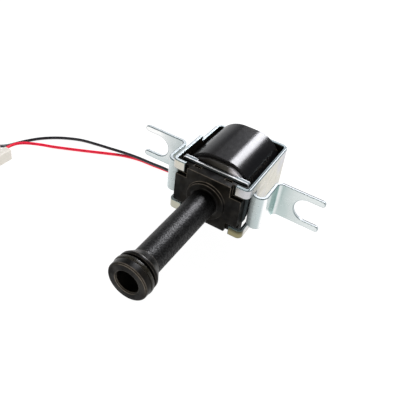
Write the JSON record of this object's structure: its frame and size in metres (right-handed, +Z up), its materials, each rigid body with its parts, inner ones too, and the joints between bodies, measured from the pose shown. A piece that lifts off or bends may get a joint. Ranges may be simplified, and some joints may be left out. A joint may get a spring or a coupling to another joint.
{
  "type": "torque converter clutch solenoid",
  "caption": "Fluid solenoid valve: stamped steel frame with slotted bolt ears, taped coil, long moulded snout with a seal ring, and two leads to a small plug.",
  "frame": {"origin": "on the snout's axis, at the middle of the seal's groove", "axes": "+Y along the snout from its tip to the back of the frame, +X across the ears to the right, +Z up"},
  "size_m": [0.1184, 0.0716, 0.0257],
  "materials": {
    "zinc_steel": "bright zinc plate",
    "plate_steel": "plain plated steel",
    "core_steel": "turned soft iron",
    "spring_steel": "drawn wire",
    "snout_plastic": "matte, glass filled",
    "bobbin_plastic": "satin",
    "seal_rubber": "satin",
    "copper_wire": "enamelled copper",
    "coil_tape": "glossy tape",
    "brass": "satin",
    "red_insulation": "satin",
    "black_insulation": "satin",
    "nylon": "natural nylon"
  },
  "bodies": {
    "solenoid": {"frame": "zinc_steel", "flux_plate": "plate_steel", "snout_body": "snout_plastic", "seal_ring": "seal_rubber", "bobbin": "bobbin_plastic", "coil_winding": "copper_wire", "coil_wrap": "coil_tape", "core": "core_steel", "valve_seat": "brass", "guide_sleeve": "brass", "return_spring": "spring_steel", "red_splice": "brass", "black_splice": "brass", "red_lead": "red_insulation", "black_lead": "black_insulation", "connector_housing": "nylon", "red_terminal": "brass", "black_terminal": "brass"},
    "armature": {"plunger": "core_steel", "valve_seal": "seal_rubber"}
  },
  "joints": [
    {"name": "plunger_slide", "type": "slide", "parent": "solenoid", "child": "armature", "axis": [0, 1, 0], "range_m": [0, 0.0012], "stiffness_N_per_m": 400, "springref_m": -0.004, "deforming": ["return_spring"]}
  ]
}
